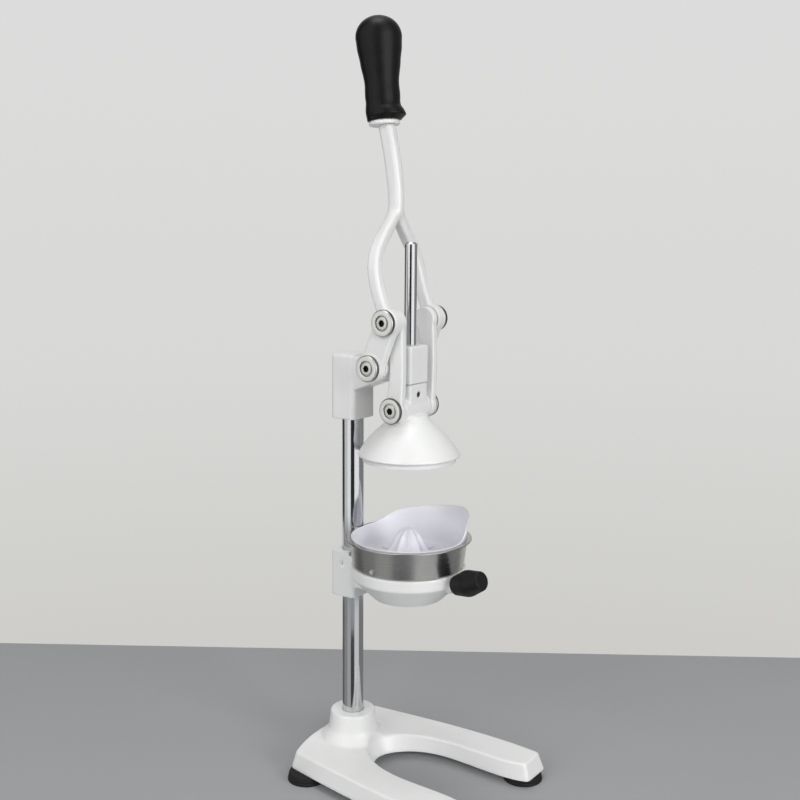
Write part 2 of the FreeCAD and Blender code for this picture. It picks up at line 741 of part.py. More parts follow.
# A place on the handle's axis, measured from the outer face of the ring.
def handle_point(distance):
    turn = math.radians(HANDLE_ANGLE)
    root = at(RING_R * math.cos(turn), AXIS_FRONT + RING_R * math.sin(turn),
              RING_TOP_Z - HANDLE_BELOW)
    return root + handle_axis() * distance


def funnel_hollow():
    seat = RING_R - SEAT_WIDTH
    floor = RING_TOP_Z - FUNNEL_DEPTH
    return revolve([(0, RING_TOP_Z + 1.0), (seat, RING_TOP_Z + 1.0),
                    (seat, RING_TOP_Z - RING_BAND + 2.0), (FUNNEL_MOUTH_R, floor),
                    (FUNNEL_MOUTH_R, floor - 1.0), (0, floor - 1.0)], AXIS_FRONT)


def funnel_ring():
    floor = RING_TOP_Z - FUNNEL_DEPTH
    return revolve([(0, RING_TOP_Z), (RING_R, RING_TOP_Z), (RING_R, RING_TOP_Z - RING_BAND),
                    (FUNNEL_MOUTH_R + FUNNEL_WALL, floor), (0, floor)], AXIS_FRONT)


def holder_casting():
    clamp = block(HOLDER_HALF, HOLDER_REAR, HOLDER_FRONT, HOLDER_BOTTOM_Z, HOLDER_TOP_Z)
    clamp = clamp.makeFillet(HOLDER_ROUND, upright_edges(clamp))
    arm = block(HOLDER_HALF - 3.0, HOLDER_FRONT - 8.0, AXIS_FRONT - FUNNEL_MOUTH_R - 8.0,
                HOLDER_BOTTOM_Z + 11.5, RING_TOP_Z - 0.6)
    boss = rod(HANDLE_BOSS_R, handle_point(-HANDLE_BOSS_IN), handle_axis(),
               HANDLE_BOSS_IN + KNOB_GAP)
    cup_air = upright(CUP_RIM_R + CUP_AIR, AXIS_FRONT, RING_TOP_Z, HOLDER_TOP_Z + 5.0)
    body = fuse([clamp, arm, funnel_ring(), boss]).cut(funnel_hollow()).cut(cup_air)
    body = body.cut(upright(COLUMN_R, 0, HOLDER_BOTTOM_Z - 1.0, HOLDER_TOP_Z + 1.0))
    body = body.cut(rod(STEM_R, handle_point(-STEM_SINK), handle_axis(), KNOB_GAP + STEM_SINK))
    hole = rod(SET_SCREW_R, at(-HOLDER_HALF - 1.0, 0, HOLDER_SCREW_Z), Vector(1, 0, 0),
               HOLDER_HALF + 1.0 - COLUMN_R)
    return body.cut(hole)


def holder_set_screw():
    depth = HOLDER_HALF - COLUMN_R - SET_SCREW_SINK
    body = rod(SET_SCREW_R, at(-COLUMN_R, 0, HOLDER_SCREW_Z), Vector(-1, 0, 0), depth)
    start = at(-COLUMN_R - depth + SET_SOCKET_DEPTH, 0, HOLDER_SCREW_Z)
    return body.cut(hexagon(SET_SOCKET_FLATS, start, Vector(-1, 0, 0), SET_SOCKET_DEPTH + 1.0))


def knob_stem():
    length = STEM_SINK + KNOB_GAP + STEM_IN_KNOB
    return rod(STEM_R, handle_point(-STEM_SINK), handle_axis(), length)


def hand_knob():
    middle = KNOB_LENGTH / 2.0
    ridge = KNOB_R - 0.6
    face = KNOB_END_R - KNOB_EDGE
    edges = [straight((0, 0), (face, 0)), straight((face, 0), (KNOB_END_R, KNOB_EDGE))]
    edges.append(straight((KNOB_END_R, KNOB_EDGE), (ridge, middle - 4.0)))
    edges.append(bent((ridge, middle - 4.0), (KNOB_R, middle), (ridge, middle + 4.0)))
    edges.append(straight((ridge, middle + 4.0), (KNOB_END_R, KNOB_LENGTH - KNOB_EDGE)))
    edges.append(straight((KNOB_END_R, KNOB_LENGTH - KNOB_EDGE), (face, KNOB_LENGTH)))
    edges.append(straight((face, KNOB_LENGTH), (0, KNOB_LENGTH)))
    edges.append(straight((0, KNOB_LENGTH), (0, 0)))
    body = turned(edges).cut(rod(STEM_R, Vector(0, 0, -1), Vector(0, 0, 1), STEM_IN_KNOB + 1.0))
    turn = FreeCAD.Rotation(Vector(0, 0, 1), handle_axis())
    body.Placement = FreeCAD.Placement(handle_point(KNOB_GAP), turn)
    return body


# Outer radius of the steel cup at a height.
def cup_radius(height):
    share = (height - RING_TOP_Z) / CUP_HEIGHT
    return CUP_BOTTOM_R + (CUP_TOP_R - CUP_BOTTOM_R) * share


def steel_cup():
    low = RING_TOP_Z
    rim = CUP_TOP_Z - CUP_WALL
    body = revolve([(CUP_FLOOR_HOLE_R, low), (CUP_BOTTOM_R, low), (CUP_TOP_R, rim), (CUP_RIM_R, rim),
                    (CUP_RIM_R, CUP_TOP_Z), (CUP_TOP_R - CUP_WALL, CUP_TOP_Z),
                    (CUP_BOTTOM_R - CUP_WALL, low + CUP_WALL),
                    (CUP_FLOOR_HOLE_R, low + CUP_WALL)], AXIS_FRONT)
    body = body.cut(upright(COLUMN_R + COLUMN_AIR, 0, low, CUP_TOP_Z + 1.0))
    return body.cut(pin_rod(PIN_HOLE_R, -CUP_WALL * 2.0, CUP_WALL * 2.0))


def pin_rod(radius, start, end):
    turn = math.radians(PIN_ANGLE)
    lean = (CUP_TOP_R - CUP_BOTTOM_R) / CUP_HEIGHT
    axis = Vector(math.cos(turn), -math.sin(turn), -lean).normalize()
    height = RING_TOP_Z + PIN_RISE
    wall = cup_radius(height)
    place = at(wall * math.cos(turn), AXIS_FRONT + wall * math.sin(turn), height)
    return rod(radius, place + axis * start, axis, end - start)


def cup_rivet():
    shank = pin_rod(PIN_HOLE_R, -CUP_WALL * 0.8, 0.3)
    return fuse([shank, pin_rod(PIN_R, 0.1, PIN_HEAD)])


def insert_radius(height):
    return cup_radius(height) - CUP_WALL - INSERT_CLEAR


def insert_bowl():
    floor = INSERT_FLOOR_Z
    low = insert_radius(floor)
    high = insert_radius(INSERT_LIP_Z)
    tip = floor + CONE_HEIGHT
    return revolve([(0, floor), (low - 3.0, floor), (low, floor + 3.0), (high, INSERT_LIP_Z),
                    (high - INSERT_WALL, INSERT_LIP_Z), (low - INSERT_WALL, floor + 4.0),
                    (low - 4.0, floor + INSERT_WALL), (CONE_R, floor + INSERT_WALL),
                    (CONE_R - 3.0, floor + 8.0), (CONE_TIP_R + 6.0, tip - 6.0),
                    (CONE_TIP_R, tip - 1.0), (0, tip)], AXIS_FRONT)


# Splash guard: degrees from +X towards the front, and height of its edge over the lip.
GUARD_LINE = [(-78.0, 0.4), (-68.0, 2.2), (-56.0, 7.0), (-43.0, 11.6), (-28.0, 14.2),
              (-10.0, 16.8), (6.0, 19.4), (20.0, 21.6), (34.0, 23.0), (47.0, 23.2),
              (58.0, 20.2), (67.0, 12.6), (75.0, 4.0), (84.0, 0.4)]


def guard_section(angle, rise):
    foot = insert_radius(INSERT_LIP_Z - GUARD_ROOT)
    lip = insert_radius(INSERT_LIP_Z)
    edge = lip + GUARD_FLARE * rise
    wall = INSERT_WALL
    points = [(foot, -GUARD_ROOT), (lip, 0.0), (edge, rise), (edge - wall, rise),
              (lip - wall, 0.0), (foot - wall, -GUARD_ROOT)]
    turn = math.radians(angle)
    line = []
    for r, up in points:
        line.append(at(r * math.cos(turn), AXIS_FRONT + r * math.sin(turn), INSERT_LIP_Z + up))
    return Part.makePolygon(line + line[:1])


def splash_guard():
    return Part.makeLoft([guard_section(angle, rise) for angle, rise in GUARD_LINE], True, True)


def floor_slot(index):
    slot = Part.makeBox(SLOT_LENGTH, SLOT_WIDTH, 3.0 * INSERT_WALL,
                        Vector(CONE_R + 6.0, -SLOT_WIDTH / 2.0, -INSERT_WALL))
    slot.rotate(Vector(0, 0, 0), Vector(0, 0, 1), 360.0 * index / SLOTS)
    slot.translate(at(0, AXIS_FRONT, INSERT_FLOOR_Z))
    return slot


def cone_flute(index):
    flute = Part.makeCylinder(FLUTE_R, 2.0 * CONE_HEIGHT)
    flute.rotate(Vector(0, 0, 0), Vector(0, 1, 0), -32.0)
    flute.translate(Vector(CONE_R + 2.2, 0, INSERT_FLOOR_Z + INSERT_WALL + 1.2))
    flute.rotate(Vector(0, 0, 0), Vector(0, 0, 1), 360.0 * index / FLUTES)
    flute.translate(at(0, AXIS_FRONT, 0))
    return flute


def strainer_insert():
    body = fuse([insert_bowl(), splash_guard()])
    for index in range(SLOTS):
        body = body.cut(floor_slot(index))
    for index in range(FLUTES):
        body = body.cut(cone_flute(index))
    return body


NODES = {
    "base_frame": base_frame,
    "rubber_feet": rubber_feet,
    "column_tube": column_tube,
    "head_casting": head_casting,
    "middle_pivot_screws": middle_screws,
    "middle_pivot_caps": middle_caps,
    "middle_pivot_spacers": middle_spacers,
    "holder_casting": holder_casting,
    "holder_set_screw": holder_set_screw,
    "knob_stem": knob_stem,
    "hand_knob": hand_knob,
    "lever_casting": lever_casting,
    "grip_collar": grip_collar,
    "grip": grip,
    "link_left": link_left,
    "link_right": link_plate,
    "upper_pivot_screws": upper_screws,
    "upper_pivot_caps": upper_caps,
    "upper_pivot_spacers": upper_spacers,
    "lower_pivot_screws": lower_screws,
    "lower_pivot_caps": lower_caps,
    "press_cup": press_cup,
    "press_liner": press_liner,
    "guide_rod": guide_rod,
    "neck_set_screw": neck_set_screw,
    "steel_cup": steel_cup,
    "cup_rivet": cup_rivet,
    "strainer_insert": strainer_insert,
}

os.makedirs("parts", exist_ok=True)
for name, make in NODES.items():
    make().exportStep("parts/" + name + ".step")
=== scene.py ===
import bpy
import bmesh
import math
from mathutils import Matrix, Vector


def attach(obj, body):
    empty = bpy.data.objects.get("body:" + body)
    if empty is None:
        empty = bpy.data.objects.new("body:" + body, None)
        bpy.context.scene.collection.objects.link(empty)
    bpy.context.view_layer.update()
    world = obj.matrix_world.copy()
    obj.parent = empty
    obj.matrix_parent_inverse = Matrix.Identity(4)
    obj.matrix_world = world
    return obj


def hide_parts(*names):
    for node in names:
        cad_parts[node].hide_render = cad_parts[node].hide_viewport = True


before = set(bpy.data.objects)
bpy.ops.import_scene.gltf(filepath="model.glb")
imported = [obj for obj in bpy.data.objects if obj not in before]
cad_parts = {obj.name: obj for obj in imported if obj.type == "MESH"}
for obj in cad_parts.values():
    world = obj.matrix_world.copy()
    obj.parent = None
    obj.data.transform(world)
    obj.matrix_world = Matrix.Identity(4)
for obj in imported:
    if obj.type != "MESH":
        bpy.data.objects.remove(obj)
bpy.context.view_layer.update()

# Sizes are written in millimetres and become metres in the meshes. The front is towards -Y.
MM = 0.001

# The column stands on one upright axis; the rod, the bell and the cup share the other.
COLUMN_Y = 74.5
COLUMN_R = 11.0
COLUMN_FOOT_Z = 16.01
COLUMN_TOP_Z = 419.9
PRESS_Y = 4.5
GUIDE_BORE_R = 6.11

# The three pivot lines run from left to right.
UPPER_Z = 466.0
LOWER_Z = 382.0
CRANK_Y = 22.5
CRANK_Z = 422.4
CAP_SEAT = 41.6
LOWER_CAP_SEAT = 29.4

# Lowest face of the base, set screw of the neck, fork of the lever, the two ends of the grip.
SOLE_Z = 8.4
NECK_SCREW_Z = 395.5
NECK_SCREW_R = 3.05
FORK = (0, 22.6, 572)
GRIP_FOOT = (0, 36.8, 652.8)
GRIP_TOP = (0, 45.7, 749.2)
GRIP_R = 17.0

# The camera's side of the press, in degrees round the column, and the boards that metal mirrors.
CAMERA_SIDE = 218.6
BOARD_AWAY = 0.9
BOARD_TALL = 2.6


class Amount:
    """A number that varies, in a shader or in a mesh rule; sums and products of it add Math nodes."""

    def __init__(self, tree, socket):
        self.tree = tree
        self.socket = socket

    def joined(self, operation, *values):
        node = self.tree.nodes.new("ShaderNodeMath")
        node.operation = operation
        for place, value in zip(node.inputs, values):
            if isinstance(value, Amount):
                self.tree.links.new(value.socket, place)
            else:
                place.default_value = value
        return Amount(self.tree, node.outputs[0])

    def __add__(self, other):
        return self.joined("ADD", self, other)

    def __radd__(self, other):
        return self.joined("ADD", other, self)

    def __sub__(self, other):
        return self.joined("SUBTRACT", self, other)

    def __rsub__(self, other):
        return self.joined("SUBTRACT", other, self)

    def __mul__(self, other):
        return self.joined("MULTIPLY", self, other)

    def __rmul__(self, other):
        return self.joined("MULTIPLY", other, self)

    def __truediv__(self, other):
        return self.joined("DIVIDE", self, other)

    def __rtruediv__(self, other):
        return self.joined("DIVIDE", other, self)

    def clipped(self):
        """The same number, but never below 0 or above 1."""
        return self.joined("MAXIMUM", self.joined("MINIMUM", self, 1.0), 0.0)

    def absolute(self):
        return self.joined("ABSOLUTE", self)

    def sine(self):
        return self.joined("SINE", self)

    def cosine(self):
        return self.joined("COSINE", self)


class Nodes:
    """A node tree that is filled by one call for each node."""

    def node(self, kind, settings=None, inputs=None):
        node = self.tree.nodes.new(kind)
        for name, value in (settings or {}).items():
            if name == "stops":
                self.set_stops(node.color_ramp, value)
            elif name == "curve":
                self.set_curve(node.mapping, value)
            else:
                setattr(node, name, value)
        for name, value in (inputs or {}).items():
            self.feed(node.inputs[name], value)
        return node

    def feed(self, socket, value):
        if isinstance(value, Amount):
            self.tree.links.new(value.socket, socket)
        elif isinstance(value, bpy.types.NodeSocket):
            self.tree.links.new(value, socket)
        elif value is not None:
            socket.default_value = value

    def set_stops(self, ramp, stops):
        for index, (place, colour) in enumerate(stops):
            stop = ramp.elements[index] if index < 2 else ramp.elements.new(place)
            stop.position = place
            stop.color = colour

    def set_curve(self, mapping, points):
        curve = mapping.curves[0]
        for index, (x, y) in enumerate(points):
            if index == 0 or index == len(points) - 1:
                point = curve.points[0 if index == 0 else -1]
                point.location = (x, y)
            else:
                curve.points.new(x, y)
        mapping.update()

    def amount(self, socket):
        return Amount(self.tree, socket)


def tone(red, green, blue):
    """A linear colour from the 0 to 255 numbers of a screen colour."""
    parts = []
    for value in (red, green, blue):
        share = value / 255.0
        parts.append(share / 12.92 if share <= 0.04045 else ((share + 0.055) / 1.055) ** 2.4)
    return (parts[0], parts[1], parts[2], 1.0)


class Finish(Nodes):
    """One material of the press."""

    def __init__(self, name, colour, roughness, **fixed):
        self.material = bpy.data.materials.new(name)
        self.material.use_nodes = True
        self.tree = self.material.node_tree
        self.tree.nodes.clear()
        given = {"Base Color": colour, "Roughness": roughness}
        given.update({key.replace("_", " "): value for key, value in fixed.items()})
        self.shader = self.node("ShaderNodeBsdfPrincipled", inputs=given)
        self.node("ShaderNodeOutputMaterial", inputs={"Surface": self.shader.outputs[0]})
        self.place = self.node("ShaderNodeTexCoord").outputs["Object"]

    def turning(self):
        """The piece's own map: turns round its axis, and length along its outline in metres."""
        return self.node("ShaderNodeUVMap", {"uv_map": "turning"}).outputs[0]

    def grain(self, scale, detail=2.0, stretch=(1.0, 1.0, 1.0), on=None):
        """Fine unevenness in the piece's own place, or on a map of its own."""
        mapped = self.node("ShaderNodeMapping", inputs={"Vector": on or self.place, "Scale": stretch})
        noise = self.node("ShaderNodeTexNoise", inputs={
            "Vector": mapped.outputs[0], "Scale": scale, "Detail": detail})
        return self.amount(noise.outputs[0])

    def blend(self, mask, first, second):
        mixed = self.node("ShaderNodeMix", {"data_type": "RGBA"}, {0: mask, 6: first, 7: second})
        return mixed.outputs[2]

    def colour(self, value):
        self.feed(self.shader.inputs["Base Color"], value)

    def roughness(self, value):
        self.feed(self.shader.inputs["Roughness"], value)

    def relief(self, height, depth):
        bump = self.node("ShaderNodeBump", inputs={"Height": height, "Distance": depth})
        self.feed(self.shader.inputs["Normal"], bump.outputs[0])


def enamel_finish():
    """Baked white enamel: soft clouds in its white, a slow flow and a fine orange peel."""
    paint = Finish("white_enamel", tone(240, 241, 240), 0.3, Coat_Weight=0.25, Coat_Roughness=0.12)
    cloud = paint.grain(22.0, 3.0)
    flow = paint.grain(160.0, 2.0)
    peel = paint.grain(900.0, 2.0)
    paint.colour(paint.blend((cloud - 0.35) * 2.0, tone(235, 236, 234), tone(242, 243, 242)))
    paint.roughness(0.24 + 0.1 * cloud + 0.06 * peel)
    paint.relief(0.7 * flow + 0.3 * peel, 0.00012)
    return paint.material


def chrome_finish(name, shade, streaks):
    """Chromed bar or tube with faint upright draw lines and wiped smears."""
    chrome = Finish(name, shade, 0.1, Metallic=1.0)
    drawn = chrome.grain(420.0, 3.0, (1.0, 1.0, 0.012))
    smear = chrome.grain(35.0, 3.0, (1.0, 1.0, 0.35))
    chrome.roughness(0.06 + streaks * drawn + 0.08 * (smear - 0.3).clipped())
    chrome.colour(chrome.blend(smear, tone(205, 206, 209), shade))
    chrome.relief(drawn, 0.000006)
    return chrome.material


def turned_finish(name, shade, rough, depth, painted_shade=None):
    """Metal faced on a lathe: fine rings that follow the outline; the last argument paints a darker stretch
    of it as shade and dark reflection, given as start and end in millimetres along the outline and a
    colour."""
    metal = Finish(name, shade, rough, Metallic=1.0)
    rings = metal.grain(1.0, 3.0, (3.0, 9000.0, 1.0), metal.turning())
    wear = metal.grain(260.0, 2.0)
    metal.roughness(rough - 0.06 + 0.14 * rings + 0.06 * wear)
    bright = metal.blend(wear, shade, tone(214, 214, 211))
    # Painted shade and painted reflection: this stretch of the outline is coloured dark in place of shade
    # and reflected dark surroundings.
    if painted_shade:
        start, end, shade_tone = painted_shade
        run = metal.node("ShaderNodeSeparateXYZ", inputs={0: metal.turning()}).outputs["Y"]
        along = metal.amount(run) * 1000.0
        painted_shade_zone = ((along - start) * 4.0).clipped() * ((end - along) * 1.6).clipped()
        bright = metal.blend(painted_shade_zone, bright, shade_tone)
    metal.colour(bright)
    metal.relief(rings, depth)
    return metal.material


def stock_finish(name, shade, rough):
    """Bar steel as it comes: a fine scratched skin with no direction of its own."""
    metal = Finish(name, shade, rough, Metallic=1.0)
    scratches = metal.grain(2600.0, 3.0)
    wear = metal.grain(260.0, 2.0)
    metal.roughness(rough - 0.06 + 0.12 * scratches + 0.06 * wear)
    metal.colour(metal.blend(0.5 * wear, shade, tone(214, 214, 211)))
    metal.relief(scratches, 0.000008)
    return metal.material


def brushed_cup_finish():
    """Sheet steel with brush lines that run round the cup."""
    steel = Finish("brushed_cup_steel", tone(180, 180, 178), 0.24, Metallic=1.0)
    lines = steel.grain(1.0, 4.0, (5.0, 7000.0, 1.0), steel.turning())
    cloud = steel.grain(34.0, 3.0, (1.0, 1.0, 0.4))
    steel.roughness(0.15 + 0.14 * lines + 0.08 * cloud)
    steel.colour(steel.blend(cloud, tone(166, 166, 164), tone(190, 190, 188)))
    steel.relief(lines, 0.000012)
    return steel.material


def moulded_finish(name, shade, lighter, rough, scale, depth):
    """Moulded plastic or rubber with a fine spark-eroded grain."""
    plastic = Finish(name, shade, rough, Specular_IOR_Level=0.24)
    grain = plastic.grain(scale, 2.0)
    cloud = plastic.grain(45.0, 2.0)
    plastic.colour(plastic.blend((cloud - 0.3) * 1.6, shade, lighter))
    plastic.roughness(rough - 0.05 + 0.1 * grain + 0.06 * cloud)
    plastic.relief(grain, depth)
    return plastic.material


def milky_finish(name, shade, lighter, deep):
    """White plastic that lets a little light in; deep is how far it goes, in metres."""
    milky = Finish(name, shade, 0.3, Subsurface_Weight=0.5, Subsurface_Scale=deep,
                   Subsurface_Radius=(1.0, 0.95, 1.0))
    cloud = milky.grain(30.0, 2.0)
    skin = milky.grain(700.0, 2.0)
    milky.colour(milky.blend(cloud, shade, lighter))
    milky.roughness(0.26 + 0.12 * cloud)
    milky.relief(0.8 * milky.grain(110.0, 1.0) + 0.2 * skin, 0.0002)
    return milky.material


enamel = enamel_finish()
column_chrome = chrome_finish("column_chrome", tone(214, 215, 218), 0.06)
rod_chrome = chrome_finish("rod_chrome", tone(218, 218, 220), 0.04)
# Painted shade: the floor and lower wall of the screw's hex socket are coloured near black for the shade
# inside it.
screw_steel = turned_finish("screw_steel", tone(206, 206, 202), 0.3, 0.00001,
                            (-1.0, 4.4, tone(30, 30, 30)))
# Painted reflection: the cap's outer side wall is coloured darker for the dark room that it reflects.
cap_steel = turned_finish("cap_satin_steel", tone(228, 228, 224), 0.32, 0.000008,
                          (7.6, 11.4, tone(104, 104, 102)))
rivet_steel = stock_finish("rivet_steel", tone(236, 236, 234), 0.35)
spacer_steel = stock_finish("spacer_steel", tone(206, 206, 202), 0.3)
dark_steel = stock_finish("dark_screw_steel", tone(60, 60, 61), 0.4)
cup_steel = brushed_cup_finish()
grip_black = moulded_finish("grip_black", tone(7, 7, 8), tone(12, 12, 13), 0.36, 1800.0, 0.00004)
knob_black = moulded_finish("knob_black", tone(14, 14, 15), tone(23, 23, 23), 0.5, 1200.0, 0.00008)
foot_rubber = moulded_finish("foot_rubber", tone(22, 22, 22), tone(34, 34, 34), 0.62, 900.0, 0.0001)
collar_white = milky_finish("collar_white", tone(236, 236, 234), tone(242, 242, 241), 0.001)
liner_white = milky_finish("liner_white", tone(236, 237, 240), tone(243, 244, 246), 0.002)
insert_white = milky_finish("insert_milky", tone(232, 231, 240), tone(239, 238, 245), 0.005)


# Mesh tools.
def shown(name, mesh):
    """Puts a mesh into the scene as a piece."""
    thing = bpy.data.objects.new(name, mesh)
    bpy.context.scene.collection.objects.link(thing)
    return thing


def flattened(thing):
    """Turns a piece and its modifiers into one plain mesh."""
    graph = bpy.context.evaluated_depsgraph_get()
    mesh = bpy.data.meshes.new_from_object(thing.evaluated_get(graph), depsgraph=graph)
    thing.modifiers.clear()
    thing.data = mesh
    return thing


def tidied(thing, crease=35.0, weld=0.0):
    """Welds a mesh, turns its faces outwards and keeps edges sharper than the crease angle."""
    shape = bmesh.new()
    shape.from_mesh(thing.data)
    if weld:
        bmesh.ops.remove_doubles(shape, verts=shape.verts, dist=weld * MM)
        bmesh.ops.dissolve_degenerate(shape, edges=shape.edges, dist=weld * MM)
    bmesh.ops.recalc_face_normals(shape, faces=shape.faces)
    for face in shape.faces:
        face.smooth = True
    shape.to_mesh(thing.data)
    shape.free()
    thing.data.set_sharp_from_angle(angle=math.radians(crease))
    return thing


def eased(points, reach, steps=4, closed=False):
    """A line of (radius, height) points with its corners rounded off."""
    line = list(points)
    if closed:
        triples = [(line[i - 1], line[i], line[(i + 1) % len(line)]) for i in range(len(line))]
    else:
        triples = list(zip(line, line[1:], line[2:]))
    out = [] if closed else [tuple(line[0])]
    for before, point, after in triples:
        corner = Vector(point)
        back, ahead = Vector(before) - corner, Vector(after) - corner
        cut = min(reach, back.length * 0.45, ahead.length * 0.45)
        first = corner + back.normalized() * cut
        last = corner + ahead.normalized() * cut
        for step in range(steps + 1):
            share = step / steps
            spot = first * (1 - share) ** 2 + corner * (2 * share * (1 - share)) + last * share ** 2
            out.append((spot.x, spot.y))
    if not closed:
        out.append(tuple(line[-1]))
    return out


def turned(name, profile, around=96, closed=False, six=()):
    """A piece turned about its own +Z; rows listed in six follow a hexagon instead of a circle."""
    corners, rows, along, run = [], [], [], 0.0
    for index, (radius, height) in enumerate(profile):
        if index:
            run += math.dist(profile[index - 1], (radius, height)) * MM
        along.append(run)
        count = 1 if radius < 1e-6 else around
        rows.append(list(range(len(corners), len(corners) + count)))
        for step in range(count):
            angle = 2.0 * math.pi * step / around
            reach = radius
            if index in six:
                reach = radius / math.cos((angle + math.pi / 6) % (math.pi / 3) - math.pi / 6)
            corners.append((reach * math.cos(angle) * MM, reach * math.sin(angle) * MM, height * MM))
    order = list(range(len(rows))) + ([0] if closed else [])
    faces, maps = [], []
    for low, high in zip(order, order[1:]):
        for step in range(around):
            after = (step + 1) % around
            ring = [(rows[low], step, along[low]), (rows[low], after, along[low]),
                    (rows[high], after, along[high]), (rows[high], step, along[high])]
            face, spots = [], []
            for row, place, length in ring:
                corner = row[place % len(row)]
                if corner not in face:
                    face.append(corner)
                    spots.append((step / around, length))
            if len(face) > 2:
                faces.append(face)
                maps.append(spots)
    mesh = bpy.data.meshes.new(name)
    mesh.from_pydata(corners, [], faces)
    layer = mesh.uv_layers.new(name="turning")
    flat = [value for spots in maps for spot in spots for value in spot]
    layer.data.foreach_set("uv", flat)
    return tidied(shown(name, mesh))


def stood(thing, place, axis=(0, 0, 1)):
    """Puts a turned piece at a place in millimetres with its own +Z along an axis."""
    turn = Vector((0, 0, 1)).rotation_difference(Vector(axis)).to_matrix().to_4x4()
    thing.data.transform(Matrix.Translation(Vector(place) * MM) @ turn)
    return thing


def cylinder(name, radius, start, end, around=64):
    """A plain rod between two places, for cutting a hole or filling one."""
    start, end = Vector(start), Vector(end)
    length = (end - start).length
    thing = turned(name, [(0, 0), (radius, 0), (radius, length), (0, length)], around)
    return stood(thing, start, (end - start).normalized())


def drilled(thing, drills):
    """Cuts round holes; each is a radius, a start and an end."""
    for radius, start, end in drills:
        bit = cylinder("drill", radius, start, end)
        cut = thing.modifiers.new("drill", "BOOLEAN")
        cut.operation = "DIFFERENCE"
        cut.solver = "EXACT"
        cut.object = bit
        flattened(thing)
        bpy.data.objects.remove(bit)
    return thing


def finished(thing, material, body, slot, *nodes):
    """Gives a piece its finish, the body that it moves with and the nodes that it stands for."""
    thing.data.materials.clear()
    thing.data.materials.append(material)
    for polygon in thing.data.polygons:
        polygon.material_index = 0
    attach(thing, body)
    if nodes:
        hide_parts(*nodes)
    return thing


def joined(thing, other):
    """Adds another piece's faces to this one."""
    shape = bmesh.new()
    shape.from_mesh(thing.data)
    shape.from_mesh(other.data)
    shape.to_mesh(thing.data)
    shape.free()
    bpy.data.objects.remove(other)


def melted(thing, centre, reach, rounds, top=1000.0, fade=6.0):
    """Smooths a joint between two cast forms, most at its centre; it fades out below its top."""
    group = thing.vertex_groups.new(name="joint")
    for vertex in thing.data.vertices:
        share = 1.0 - (vertex.co - Vector(centre) * MM).length / (reach * MM)
        share = min(1.0, 2.0 * share, (top * MM - vertex.co.z) / (fade * MM))
        if share > 0.0:
            group.add([vertex.index], share, "REPLACE")
    soften = thing.modifiers.new("joint", "SMOOTH")
    soften.vertex_group = "joint"
    soften.factor = 0.5
    soften.iterations = rounds
    flattened(thing)
    thing.vertex_groups.clear()


def casting(name, node, skin, rounds, drills=(), fills=(), joints=(), snug=False):
    """A sand-cast or moulded piece: the node's shape under a skin of small faces, its edges worn
    soft in a few rounds; a snug skin is first laid back on the node."""
    thing = shown(name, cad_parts[node].data.copy())
    thing.data.materials.clear()
    tidied(thing, weld=0.002)
    for radius, start, end in fills:
        joined(thing, cylinder("fill", radius, start, end))
    wrap = thing.modifiers.new("skin", "REMESH")
    wrap.mode = "VOXEL"
    wrap.voxel_size = skin * MM
    wrap.use_smooth_shade = True
    if snug:
        close = thing.modifiers.new("close", "SHRINKWRAP")
        close.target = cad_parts[node]
    soften = thing.modifiers.new("soften", "SMOOTH")
    soften.factor = 0.5
    soften.iterations = rounds
    flattened(thing)
    for joint in joints:
        melted(thing, *joint)
    drilled(thing, drills)
    return tidied(thing, 50.0)


def swelled(thing, foot, top, line):
    """Changes the grip's radius along its axis; the line gives (share of length, millimetres)."""
    foot, top = Vector(foot) * MM, Vector(top) * MM
    axis = (top - foot).normalized()
    length = (top - foot).length
    for vertex in thing.data.vertices:
        along = (vertex.co - foot).dot(axis)
        share = min(max(along / length, 0.0), 1.0)
        out = vertex.co - foot - axis * along
        for (low, first), (high, last) in zip(line, line[1:]):
            if low <= share <= high:
                blend = (1.0 - math.cos(math.pi * (share - low) / (high - low))) / 2.0
                vertex.co += out * ((first + (last - first) * blend) / GRIP_R)
                break
    return thing


class Rule(Nodes):
    """A geometry node tree with named sizes; it ends in one plain mesh of one finish."""

    def __init__(self, name, **sizes):
        self.tree = bpy.data.node_groups.new(name, "GeometryNodeTree")
        face = self.tree.interface
        face.new_socket("Piece", in_out="INPUT", socket_type="NodeSocketGeometry")
        for label, value in sizes.items():
            kind = "NodeSocketInt" if isinstance(value, int) else "NodeSocketFloat"
            socket = face.new_socket(label, in_out="INPUT", socket_type=kind)
            socket.default_value = value
        face.new_socket("finish", in_out="INPUT", socket_type="NodeSocketMaterial")
        face.new_socket("Piece", in_out="OUTPUT", socket_type="NodeSocketGeometry")
        self.given = self.node("NodeGroupInput")

    def size(self, label):
        return self.amount(self.given.outputs[label])

    def xyz(self, x, y, z):
        return self.node("ShaderNodeCombineXYZ", inputs={"X": x, "Y": y, "Z": z}).outputs[0]

    def close(self, geometry):
        whole = self.node("GeometryNodeRealizeInstances", inputs={"Geometry": geometry})
        dressed = self.node("GeometryNodeSetMaterial", inputs={
            "Geometry": whole.outputs[0], "Material": self.given.outputs["finish"]})
        self.node("NodeGroupOutput", inputs={"Piece": dressed.outputs[0]})

    def made(self, thing, material, **sizes):
        work = thing.modifiers.new("rule", "NODES")
        work.node_group = self.tree
        for socket in self.tree.interface.items_tree:
            if socket.in_out == "INPUT" and socket.name in sizes:
                work[socket.identifier] = sizes[socket.name]
            if socket.in_out == "INPUT" and socket.name == "finish":
                work[socket.identifier] = material
        return flattened(thing)


